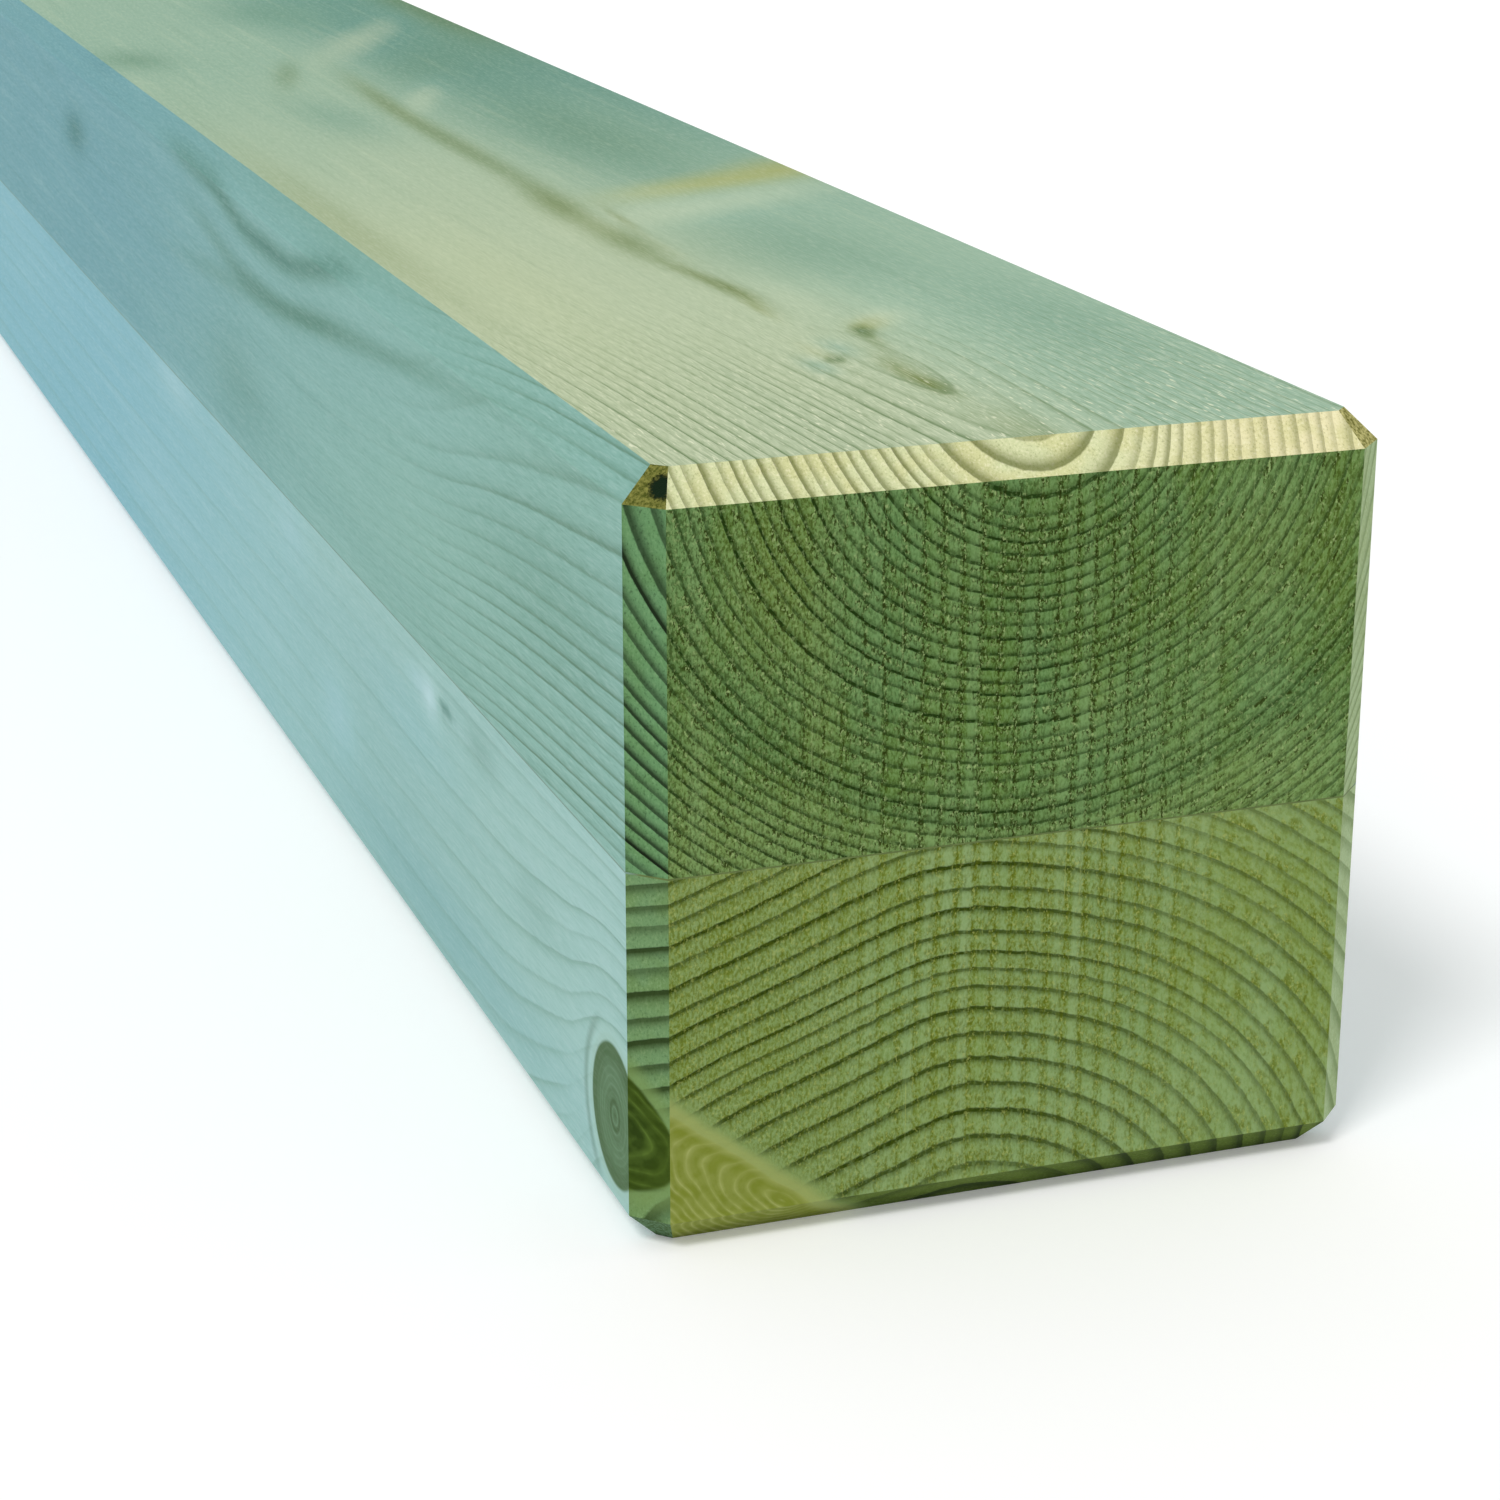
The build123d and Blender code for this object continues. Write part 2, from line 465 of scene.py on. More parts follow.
def lamination_shell(board):
    """All patches of one lamination, with real relief on its sawn end and head chamfers."""
    shell = Shell()
    c, run = CHAMFER, FACET_RUN
    fine_across = even(c, WIDTH - c, FINE)
    fine_deep = even(c, THICKNESS, FINE)
    squeezed = c + run + (fine_across - c) * (WIDTH - 2 * c - 2 * run) / (WIDTH - 2 * c)
    slope = np.linspace(0, 1, SLOPE_STEPS + 1)

    def carved(rows, normal):
        """Sinks a patch by its relief, which fades out towards its edges."""
        across, deep, along = rows[..., 0].ravel(), rows[..., 1].ravel(), rows[..., 2].ravel()
        down = board.to_down(deep)
        radius = board.radius_of(across, down, along)
        depth = relief(across, down, along, radius, board).reshape(rows.shape[:2])
        fade = np.ones(rows.shape[:2])
        for axis, shape in enumerate(((-1, 1), (1, -1))):
            place = np.arange(rows.shape[axis])
            near = np.minimum(place, rows.shape[axis] - 1 - place) / FADE_ROWS
            fade = fade * np.clip(near, 0, 1).reshape(shape)
        return rows - (depth * fade)[..., None] * np.array(normal)

    # The end and the three head chamfers
    deep_grid = fine_deep[:, None]
    shell.grid(carved(points(fine_across[None, :], deep_grid, 0), (0, 0, -1)), END)
    tilt = 0.5**0.5
    left = points(c * (1 - slope)[None, :], deep_grid, c * slope[None, :])
    shell.grid(carved(left, (-tilt, 0, -tilt)), HEAD_LEFT)
    shell.grid(carved(mirrored(left), (tilt, 0, -tilt)), HEAD_RIGHT)
    s = slope[:, None]
    broad = points(fine_across + s * (squeezed - fine_across), c * (1 - s), c * s)
    shell.grid(carved(broad, (0, -tilt, -tilt)), HEAD_BROAD)

    # The two corner facets
    on_side, on_end = np.array([0, c, c]), np.array([c, c, 0])
    on_broad, on_edge = np.array([c + run, 0, c]), np.array([c, 0, c + run])
    k, m = slope[:, None, None], slope[None, :, None]
    facet = (1 - m) * ((1 - k) * on_end + k * on_side) + m * ((1 - k) * on_broad + k * on_edge)
    shell.grid(facet, FACET_LEFT)
    shell.grid(mirrored(facet), FACET_RIGHT)

    # The long faces, from their front rows to the foot
    rows = rows_along(board.knots)
    side = even(c, THICKNESS, COARSE)
    across = even(c, WIDTH - c, COARSE)
    edge = np.linspace(0, 1, EDGE_STEPS + 1)
    side_front, side_line = points(0, fine_deep, c), points(0, side, 0)
    edge_front = points(c * slope, c * (1 - slope), c + run * slope)
    edge_line = points(c * edge, c * (1 - edge), 0)
    cut = points(c + run * (1 - slope[::-1]), 0, c + run * slope[::-1])
    broad_front = np.concatenate([cut, points(squeezed, 0, c)[1:], mirrored(cut)[::-1][1:]])
    long_faces = (
        (side_front, 1, side_line, LEFT_FACE),
        (edge_front, 0, edge_line, LEFT_EDGE),
        (broad_front, 0, points(across, 0, 0), BROAD_FACE),
        (mirrored(edge_front), 1, mirrored(edge_line), RIGHT_EDGE),
        (mirrored(side_front), 1, mirrored(side_line), RIGHT_FACE),
    )
    for front, axis, line, patch in long_faces:
        body = line[None] + rows[:, None, None] * np.array([0, 0, 1])
        n = shell.grid(body, patch)
        first = shell.add(front[None])[0]
        sign = 1 if front[-1][axis] > front[0][axis] else -1
        shell.zip(first, sign * front[:, axis], n[0], sign * line[:, axis], patch)

    # The foot, square cut
    deep_rows = np.concatenate([c * edge[:-1], side])
    inset = np.maximum(c - deep_rows, 0)[:, None]
    share = ((across - c) / (WIDTH - 2 * c))[None, :]
    shell.grid(points(inset + share * (WIDTH - 2 * inset), deep_rows[:, None], LENGTH), FOOT)
    return shell


def mirrored(places):
    """Places moved to the other side of the post."""
    return places * np.array([-1, 1, 1]) + np.array([WIDTH, 0, 0])


def in_frame(across, down, along):
    """A place of the post in the frame's metres."""
    return LEFT_X + across * MM, HEAD_Y + along * MM, TOP_Z - down * MM


def build_lamination(board):
    """The closed mesh of a lamination, with sharp edges between its patches."""
    shell = lamination_shell(board)
    across, deep, along = np.concatenate(shell.places).T
    mesh = bpy.data.meshes.new(board.name)
    places = np.stack(in_frame(across, board.to_down(deep), along), 1)
    mesh.from_pydata(places.tolist(), [], shell.faces)
    patch = mesh.attributes.new("patch", "INT", "FACE")
    patch.data.foreach_set("value", shell.patches)
    bm = bmesh.new()
    bm.from_mesh(mesh)
    bmesh.ops.remove_doubles(bm, verts=bm.verts, dist=1e-6)
    layer = bm.faces.layers.int["patch"]
    open_edges = [edge for edge in bm.edges if edge.is_boundary]
    for face in bmesh.ops.holes_fill(bm, edges=open_edges, sides=0)["faces"]:
        face[layer] = GLUED
    bmesh.ops.recalc_face_normals(bm, faces=bm.faces)
    for face in bm.faces:
        face.smooth = True
        face.material_index = SLOT_OF_PATCH[face[layer]]
    for edge in bm.edges:
        patches = {face[layer] for face in edge.link_faces}
        edge.smooth = len(patches) == 1
    bm.to_mesh(mesh)
    bm.free()
    mesh.attributes.remove(mesh.attributes["patch"])
    piece = bpy.data.objects.new(board.name, mesh)
    bpy.context.collection.objects.link(piece)
    return piece


def paint(piece, board):
    """Writes ring number, way round the ring, tones and saw marks at each vertex for the materials."""
    mesh = piece.data
    places = np.empty(len(mesh.vertices) * 3)
    mesh.vertices.foreach_get("co", places)
    places = places.reshape(-1, 3)
    across = (places[:, 0] - LEFT_X) / MM
    along = (places[:, 1] - HEAD_Y) / MM
    down = (TOP_Z - places[:, 2]) / MM
    radius = board.radius_of(across, down, along)
    on_end, on_left, on_top = (place < CHAMFER / 2 for place in (along, across, down))
    tones = np.select([on_end[:, None], on_left[:, None], on_top[:, None]], [
        soften(across, down, END_SPOTS), soften(along, down, LEFT_SPOTS), soften(along, across, TOP_SPOTS),
    ])
    plain = np.select([on_left, on_top], [hidden(along, down, LEFT_PLAIN), hidden(along, across, TOP_PLAIN)])
    turn = np.arctan2(across - PITH_ACROSS, np.abs(down - board.pith))
    write(mesh, "arc", turn * radius)
    write(mesh, "plain", plain)
    write(mesh, "ring", ring_number(radius, board.widths))
    write(mesh, "tones", tones)
    write(mesh, "saw", saw_strength(across, down))


def write(mesh, name, values):
    """Stores a number or a vector per vertex under a name."""
    kind, field = ("FLOAT", "value") if values.ndim == 1 else ("FLOAT_VECTOR", "vector")
    attribute = mesh.attributes.new(name, kind, "POINT")
    attribute.data.foreach_set(field, np.ascontiguousarray(values, dtype=np.float32).ravel())


# Materials
WHITE = (1, 1, 1, 1)
FLOOR_COLOUR = (246, 246, 246)
FLOOR_LIFT = 0.16
KNOT_RING = 0.92
KNOT_EYE = 4.0


def srgb(red, green, blue):
    """A colour as seen on screen, 0 to 255, for a shader."""
    def linear(level):
        level = level / 255
        return level / 12.92 if level <= 0.04045 else ((level + 0.055) / 1.055) ** 2.4
    return (linear(red), linear(green), linear(blue), 1.0)


class Look(SimpleNamespace):
    """Colours, as seen on screen, and amounts of one finish."""

    def but(self, **changes):
        """The same finish with some values added or changed."""
        return Look(**{**vars(self), **changes})

    def get(self, name, otherwise):
        """A value that is only given where it differs from another."""
        return getattr(self, name, otherwise)


class Graph:
    """Shader nodes of a material or world. Most calls add a node and return its output."""

    def __init__(self, owner):
        owner.use_nodes = True
        self.owner = owner
        self.tree = owner.node_tree
        self.tree.nodes.clear()

    def feed(self, socket, value):
        """Links an output to a socket, or sets the socket's own value."""
        if isinstance(value, bpy.types.NodeSocket):
            self.tree.links.new(value, socket)
        else:
            socket.default_value = value

    def add(self, kind, inputs=(), output=0, **settings):
        """Adds a node whose inputs are given in order, or by name or number."""
        node = self.tree.nodes.new("ShaderNode" + kind)
        for key, value in settings.items():
            setattr(node, key, value)
        for key, value in inputs.items() if isinstance(inputs, dict) else enumerate(inputs):
            self.feed(node.inputs[key], value)
        return node.outputs[output]

    def math(self, operation, *values, clamp=False):
        return self.add("Math", values, operation=operation, use_clamp=clamp)

    def times(self, first, *others):
        """Product of two or more values."""
        for other in others:
            first = self.math("MULTIPLY", first, other)
        return first

    def largest(self, first, *others):
        """Largest of two or more values."""
        for other in others:
            first = self.math("MAXIMUM", first, other)
        return first

    def line(self, value, slope, start, clamp=False):
        """A value times a slope, plus a start."""
        return self.math("MULTIPLY_ADD", value, slope, start, clamp=clamp)

    def sway(self, value, noise, amount, clamp=False):
        """A value moved to and fro by a noise."""
        return self.line(self.math("SUBTRACT", noise, 0.5), amount, value, clamp)

    def vector(self, operation, *values, output=0):
        return self.add("VectorMath", values, output, operation=operation)

    def split(self, vector):
        """The three numbers of a vector."""
        return self.add("SeparateXYZ", [vector]).node.outputs

    def mix(self, amount, first, second):
        """Mixes two colours, each as seen on screen or from another node."""
        colours = [srgb(*colour) if isinstance(colour, tuple) else colour for colour in (first, second)]
        return self.add("Mix", {0: amount, 6: colours[0], 7: colours[1]}, 2, data_type="RGBA")

    def layers(self, colour, *layers):
        """Lays colours over a first one, each by its own amount."""
        for amount, over in layers:
            colour = self.mix(amount, colour, over)
        return colour

    def step(self, value, low, high, start=0, end=1):
        """Smooth change from start to end as value goes from low to high."""
        return self.add("MapRange", (value, low, high, start, end), interpolation_type="SMOOTHSTEP")

    def curve(self, value, stops):
        """Brightness along a ramp of (place, level) stops."""
        result = self.add("ValToRGB", [value])
        ramp = result.node.color_ramp
        while len(ramp.elements) < len(stops):
            ramp.elements.new(0.5)
        for element, (place, level) in zip(ramp.elements, stops):
            element.position = place
            element.color = (level, level, level, 1)
        return result

    def white(self, value):
        """Random number of its own for each whole value."""
        return self.add("TexWhiteNoise", {"W": value}, noise_dimensions="1D")

    def attribute(self, name, output="Fac"):
        return self.add("Attribute", (), output, attribute_name=name)

    def seen(self):
        """1 for what the camera sees, straight or in a reflection."""
        paths = self.add("LightPath").node.outputs
        return self.largest(paths["Is Camera Ray"], paths["Is Glossy Ray"])

    def finish(self, shader, kind="Material"):
        """Links the shader to the output, and returns the material or world."""
        output = self.tree.nodes.new("ShaderNodeOutput" + kind)
        self.feed(output.inputs["Surface"], shader)
        return self.owner


class Wood(Graph):
    """Shader nodes of a material of the post, which know places of it in millimetres."""

    def __init__(self, name):
        super().__init__(bpy.data.materials.new(name))
        self.place = self.add("TexCoord", (), "Object")
        self.across, self.along, self.up = self.split(self.place)

    def by_across(self, low, high, start=0, end=1):
        """Smooth change between two places across the post."""
        return self.step(self.across, LEFT_X + low * MM, LEFT_X + high * MM, start, end)

    def by_along(self, low, high, start=0, end=1):
        """Smooth change between two places along the post."""
        return self.step(self.along, HEAD_Y + low * MM, HEAD_Y + high * MM, start, end)

    def noise(self, size, stretch=(1, 1, 1), detail=2, roughness=0.5, place=None):
        """Noise between 0 and 1 whose lumps are about size millimetres across, times stretch."""
        scale = tuple(1 / (size * part * MM) for part in stretch)
        scaled = self.vector("MULTIPLY", self.place if place is None else place, scale)
        return self.add("TexNoise", {"Vector": scaled, "Scale": 1, "Detail": detail, "Roughness": roughness})

    def rings(self, wander, fray, moved=0):
        """Share across a ring, a random strength for each ring, and the ring number with small wander."""
        number = self.math("ADD", self.attribute("ring"), moved)
        number = self.sway(number, self.noise(9, (1, 3, 1)), wander)
        number = self.sway(number, self.noise(1.1, (1, 2.5, 1)), fray)
        return self.math("FRACT", number), self.white(self.math("FLOOR", number)), number

    def surface(self, colour, roughness, height, distance, specular=0.35):
        """Finishes the material with a rough, bumped surface."""
        bump = self.add("Bump", {"Strength": 1, "Distance": distance * MM, "Height": height})
        return self.finish(self.add("BsdfPrincipled", {
            "Base Color": colour, "Roughness": roughness, "Normal": bump, "Specular IOR Level": specular,
        }))


def knot_reach(g, knot):
    """Distance from a knot's core as a share of its radius there, and the plain distance."""
    axis, way = inward(knot.way)
    sign = 1 if knot.way[axis] > 0 else -1
    normal = [0, 0, 0]
    normal[(0, 2, 1)[axis]] = -1.0 if axis == 1 else 1.0
    offset = g.vector("SUBTRACT", g.place, in_frame(*knot.root))
    run = g.vector("DOT_PRODUCT", offset, normal, output=1)
    core = g.add("VectorMath", {0: (way[0], way[2], -way[1]), 3: run}, operation="SCALE")
    aside = g.vector("LENGTH", g.vector("SUBTRACT", offset, core), output=1)
    radius = g.largest(g.line(run, sign * knot.taper, knot.radius * MM), knot.least * MM)
    return g.math("DIVIDE", aside, radius), aside


def wedge_reach(g):
    """The same for the head knot on the sawn end, where it fills the corner below a slanting line."""
    slope, start, depth = 0.8, 72.5, 9.0
    line = g.line(g.across, -slope / (depth * MM),
                  ((LEFT_X + CHAMFER * MM) * slope + TOP_Z - start * MM) / (depth * MM))
    above = g.line(g.up, 1 / (depth * MM), g.times(line, -1))
    reach = g.sway(g.math("ADD", above, 1), g.noise(7, detail=1), 0.3)
    return g.largest(reach, g.by_along(20, 30, 0, 9))


def add_knots(g, colour, height, knots, look):
    """Paints knots over the grain: a core with its own rings, a rim, a halo, a pale edge and a collar."""
    for knot in knots:
        reach, aside = knot_reach(g, knot)
        if look.wedge:
            reach = wedge_reach(g)
        own = g.line(g.noise(6, detail=1), 1.6, g.times(aside, 1 / (KNOT_RING * MM)))
        line = [(0, 1), (0.1, 0.45), (0.3, 0), (0.66, 0), (0.9, 0.55), (1, 1)]
        line = g.curve(g.math("FRACT", own), line)
        line = g.times(line, g.step(g.noise(2.4), 0.32, 0.62, 0.35, 1))
        middle = knot.root[2]
        behind = g.by_along(middle + 4, middle + 9, 0, look.collar)
        half = g.times(reach, 0.5)
        at_edge = g.line(half, 1 / look.edge_width, 0.5 - 0.5 / look.edge_width)
        inside = g.step(reach, 0.93, 0.99, 1, 0)
        around = g.step(reach, 1.05, look.halo_end, look.around, 0)
        eye = g.curve(g.times(aside, 1 / (KNOT_EYE * MM)), [
            (0, 1), (0.16, 0.2), (0.28, 0), (0.36, 0.75), (0.45, 0.9), (0.56, 0), (0.74, 0.35), (0.9, 0),
        ])
        rim = g.curve(half, [(0.3, 0), (0.41, 0.9), (0.465, 0.8), (0.485, 0), (0.5, 0)])
        edge = g.curve(at_edge, [(0.462, 0), (0.492, 1), (0.512, 1), (0.545, 0)])
        collar = g.curve(half, [(0.56, 0), (0.61, 1), (0.63, 1), (0.69, 0)])
        core = g.layers(
            look.knot,
            (g.step(g.noise(1.6, (1, 1.6, 1)), 0.35, 0.65, 0, 0.22), look.knot_line),
            (g.times(line, look.own_lines), look.knot_line),
            (g.times(rim, 0.6), look.rim),
            (g.times(eye, look.eye), look.rim),
        )
        colour = g.layers(
            colour,
            (around, look.halo),
            (g.times(collar, behind), look.rim),
            (inside, core),
            (g.times(edge, look.edge), look.knot_edge),
        )
        level = g.line(line, 0.1, 0.5)
        height = g.line(g.largest(inside, around), g.math("SUBTRACT", level, height), height)
    return colour, height


def end_grain(name, look, knots):
    """Sawn end grain. The saw left upright columns: smooth cells, with torn fibre between them."""
    g = Wood(name)
    saw = g.attribute("saw")

    # Columns of the saw, unevenly wide. The ring lines step a little from one to the next.
    marks = g.line(g.noise(8, (1, 1, 5), 1), 0.5, g.line(g.across, 1 / (SAW_SPACING * MM), 40))
    phase = g.math("FRACT", marks)
    column = g.white(g.math("FLOOR", marks))
    step = g.sway(g.times(g.math("SUBTRACT", column, 0.5), look.jump), phase, look.step)
    share, random, number = g.rings(0.16, 0.12, g.times(step, saw))

    # Latewood: a dark line, sharp outwards, with a soft, frayed side towards the pith
    start = look.line
    soft = g.curve(g.sway(share, g.noise(0.3, (0.9, 1, 3.2)), look.fray), [
        (0, 0), (start - 0.3, 0.03), (start - 0.12, 0.25), (start + 0.04, look.soft), (0.97, look.soft),
        (0.99, 0),
    ])
    sharp = g.curve(share, [(0, 0.25), (0.03, 0), (start, 0), (start + 0.05, 1), (0.965, 1), (1, 0.25)])
    weak = g.line(random, look.uneven, 1.06 - look.uneven, clamp=True)
    weak = g.times(weak, g.by_across(40, 72, 1, look.right_lines))
    broken = g.step(g.noise(0.8, (1, 1, 1.3)), 0.34, 0.5, look.least_line, 1)
    late = g.times(g.largest(soft, g.times(sharp, broken)), weak)

    # Torn fibre: between the cells, in patches of earlywood, and along the rings on the right
    pressed = g.step(g.noise(1.3, (0.7, 1, 1.2)), 0.34, 0.54, 0.25, 1)
    phase = g.sway(phase, g.noise(0.7), 0.22)
    between = g.curve(phase, [(0, 1), (0.06, 1), (0.06 + look.seam, 0), (1.0 - look.seam, 0), (1, 1)])
    between = g.times(between, pressed, saw)
    seam = g.curve(phase, [(0, 1), (0.07, 0.9), (0.13, 0), (0.9, 0), (1, 1)])
    seam = g.times(seam, pressed, saw)
    patchy = g.step(g.noise(3.4, (0.8, 1, 1.2), 3, 0.6), 0.46, 0.56)
    early = g.curve(share, [(0, 1), (0.35, 0.8), (0.62, 0.15), (1, 0.1)])
    beside = g.largest(g.by_across(52, 68, 0, look.right), g.by_across(34, 20, 0, look.left))
    torn = g.largest(between, g.times(patchy, early, look.torn), beside)

    # Flecks, upright on the left and drawn out along the rings on the right
    swirl = g.add("CombineXYZ", (g.times(number, 1.6 * MM), g.times(g.attribute("arc"), MM)))
    drawn = g.noise(0.52, (0.8, 2.6, 1), 3, 0.62, swirl)
    upright = g.noise(0.42, (0.8, 1, 1.6), 3, 0.66)
    by_right = g.by_across(56, 72)
    upright = g.times(upright, g.line(by_right, -0.6, 1))
    fibre = g.math("ADD", upright, g.times(drawn, g.times(by_right, 0.6)))
    shown = g.line(torn, 0.95, 0.1, clamp=True)
    bright = g.times(g.step(g.noise(0.44, (0.8, 1, 1.2), 2, 0.62), 0.55, 0.64), shown)
    pit = g.times(g.step(fibre, 0.53, 0.44), shown)

    # Upright streaks of tone, a pale stripe near the left and a broad patchiness
    streak = g.noise(2.6, (1, 1, 9), 3, 0.6)
    light, olive, _ = g.split(g.attribute("tones", "Vector"))
    band = g.times(g.step(number, look.band - 1.6, look.band - 0.2, 0, 0.5),
                   g.step(number, look.band + 1.2, look.band + 0.6))
    stripe = g.times(g.by_across(5.6, 6.4), g.by_across(8.6, 7.4))
    smooth = g.curve(phase, [(0, 0), (0.3, 0), (0.42, 1), (0.82, 1), (0.94, 0)])
    smooth = g.times(smooth, saw, g.times(column, look.cell))
    colour = g.layers(
        look.clear,
        (g.step(g.noise(15, (0.8, 1, 1.4)), 0.38, 0.62), look.olive),
        (g.step(streak, 0.42, 0.68, 0, 0.45), look.pale),
        (g.step(streak, 0.46, 0.26, 0, 0.35), look.rough),
        (g.largest(olive, 0), look.warm),
        (g.largest(light, 0), look.light),
        (g.line(g.math("MINIMUM", light, 0), -1, band, clamp=True), look.shade),
        (g.times(stripe, 0.4), look.pale),
        (g.times(torn, look.tint), look.rough),
        (g.step(fibre, 0.4, 0.66, 0, 0.5), look.pale),
        (g.step(fibre, 0.5, 0.34, 0, 0.25), look.pit),
        (late, look.late),
        (g.times(seam, look.groove), look.pit),
        (g.times(smooth, g.math("SUBTRACT", 1, late)), look.pale),
        (g.times(pit, look.pitted), look.pit),
        (g.times(bright, look.bright), look.speck),
        (g.step(g.noise(0.6, (0.5, 1, 40), 1), 0.72, 0.8, 0, 0.4), look.speck),
    )
    height = g.line(between, -0.35, g.line(late, -0.6, 0.6))
    height = g.line(g.line(torn, 0.9, 0.2), fibre, height)
    colour, height = add_knots(g, colour, height, knots, look)
    return g.surface(colour, 0.8, height, 0.24, 0.1)


def cut_chamfer(name, look, knots):
    """Planed head chamfer: smooth, with crisp ring lines that darken gradually to one side."""
    g = Wood(name)
    share, random, _ = g.rings(0.1, 0.08)
    late = g.curve(share, [
        (0, 0.35), (0.03, 0), (0.32, 0.03), (0.52, 0.22), (0.74, 0.75), (0.83, 1), (0.97, 1), (1, 0.35),
    ])
    late = g.times(late, g.line(random, 0.5, 0.58, clamp=True))
    grain = g.noise(0.3, (1, 1, 1.4), 3, 0.68)
    to_right = g.by_across(50, 78)
    right, contrast_right = look.get("right", look.clear), look.get("contrast_right", look.contrast)
    contrast = g.line(to_right, contrast_right - look.contrast, look.contrast)
    colour = g.layers(
        look.clear,
        (to_right, right),
        (g.step(g.noise(5), 0.38, 0.62, 0, 0.6), look.olive),
        (g.step(grain, 0.5, 0.72, 0, 0.6), look.pale),
        (g.step(grain, 0.47, 0.29, 0, look.grainy), look.late),
        (g.times(late, contrast), look.late),
    )
    height = g.line(grain, 0.25, g.line(late, -0.6, 0.5))
    colour, height = add_knots(g, colour, height, knots, look)
    return g.surface(colour, 0.65, height, 0.16, 0.12)


def planed_face(name, look, knots):
    """Planed long face: fine ring lines, fibre along the post, broad painted tones, and painted glints near
    the head.
    """
    g = Wood(name)
    share, random, _ = g.rings(0.14, 0.06)
    late = g.curve(share, [
        (0, 0.35), (0.04, 0), (0.45, 0.03), (0.7, 0.2), (0.84, 0.55), (0.91, 1), (0.965, 1), (1, 0.35),
    ])
    late = g.times(late, g.line(random, 0.7, 0.42, clamp=True))

    # The lines are faint where the photo shows them so, and clear again in what it doesn't show
    unseen = g.largest(g.by_along(490, 640), g.by_across(44, 60, 0, look.unseen))
    fading = g.largest(g.by_along(8, look.fade, 1, look.distant), g.times(unseen, 0.72))
    late = g.times(late, fading, g.math("SUBTRACT", 1, g.attribute("plain")))
    light, olive, blue = g.split(g.attribute("tones", "Vector"))
    streak = g.noise(2, (1, 30, 1), 3, 0.6)
    fibre = g.noise(0.24, (1, 14, 1), 2, 0.6)
    glint = g.step(g.noise(0.3, (1, 9, 1), 1), 0.64, 0.76)

    # The tone drifts along the post and from its left to its right
    far = g.times(g.by_along(20, 390), g.line(unseen, -0.62, 1))
    far = g.sway(far, g.noise(24, (1, 8, 1), 3), look.drift, clamp=True)
    to_right = g.by_across(36, 66)
    late = g.times(late, g.line(to_right, look.right_lines - 1, 1))
    grainy = g.by_along(6, 110, look.grainy, 0.08)
    on_edge = g.step(g.up, TOP_Z - (CHAMFER + 0.1) * MM, TOP_Z - (CHAMFER - 0.3) * MM)
    colour = g.layers(
        g.mix(far, look.near, look.far),
        (to_right, g.mix(far, look.get("near_right", look.near), look.get("far_right", look.far))),
        (g.step(streak, 0.5, 0.78, 0, 0.16), look.pale),
        (g.step(streak, 0.46, 0.24, 0, 0.12), look.dark),
        (g.largest(blue, 0), look.blue),
        (g.largest(g.times(blue, -1), 0), look.warm),
        (g.largest(light, 0), look.pale),
        (g.largest(olive, 0), look.stain),
        (g.largest(g.times(light, -1), 0), look.dark),
        (g.times(on_edge, look.edge_shade), look.dark),
        (g.times(g.step(fibre, 0.5, 0.28), grainy), look.late),
        (g.times(g.step(fibre, 0.5, 0.7), grainy), look.shine),
        (g.times(late, look.contrast), look.late),
        # Painted glints: pale streaks near the head standing in for light caught on the planed face
        (g.times(glint, g.times(g.by_along(70, 8), look.glint)), look.shine),
    )
    height = g.line(fibre, 0.35, g.line(late, -0.5, 0.5))
    colour, height = add_knots(g, colour, height, knots, look)
    return g.surface(colour, g.step(fibre, 0.3, 0.7, 0.68, 0.56), height, 0.09, 0.14)


def facet_wood(name):
    """Corner facet: torn end grain, with a torn-out chip beside the top left one, painted near-black as
    painted shade in its hollow, and a brown tinge at the top.
    """
    g = Wood(name)
    torn = g.noise(0.45, (1, 1, 1), 3, 0.65)
    chip_place = in_frame(CHAMFER + 0.4, CHAMFER * 0.5, CHAMFER * 0.62)
    from_chip = g.vector("LENGTH", g.vector("SUBTRACT", g.place, chip_place), output=1)
    torn_hollow_shade = g.step(g.sway(from_chip, torn, 1.4 * MM), 1.1 * MM, 1.8 * MM, 1, 0)
    at_top = g.step(g.up, TOP_Z - 40 * MM, TOP_Z - 10 * MM)
    by_right = g.step(g.across, 0, 10 * MM)
    dark = g.mix(at_top, (70, 96, 52), g.mix(by_right, (74, 82, 24), (112, 112, 44)))
    pale = g.mix(at_top, (104, 138, 104), g.mix(by_right, (134, 134, 66), (206, 200, 130)))
    # The torn chip is sunk by the bump and painted near-black as painted shade inside its hollow
    colour = g.layers(dark, (g.step(torn, 0.34, 0.66), pale), (torn_hollow_shade, (8, 30, 10)))
    return g.surface(colour, 0.8, g.line(torn_hollow_shade, -1.2, torn), 0.25, 0.1)


def glued_wood(name):
    """The glued face, hidden in the joint."""
    g = Wood(name)
    streak = g.noise(2, (1, 30, 1), 3)
    return g.surface(g.mix(streak, (110, 132, 80), (150, 164, 112)), 0.8, streak, 0.05)


def set_adhesive(name):
    """Set adhesive flush with the wood: dull, with small breaks."""
    g = Wood(name)
    broken = g.noise(1.4, (1, 6, 1), 3)
    face = g.mix(broken, (96, 128, 112), (132, 164, 150))
    end = g.mix(broken, (70, 88, 36), (112, 130, 70))
    return g.surface(g.mix(g.by_along(0.6 * CHAMFER, CHAMFER), end, face), 0.6, broken, 0.05)


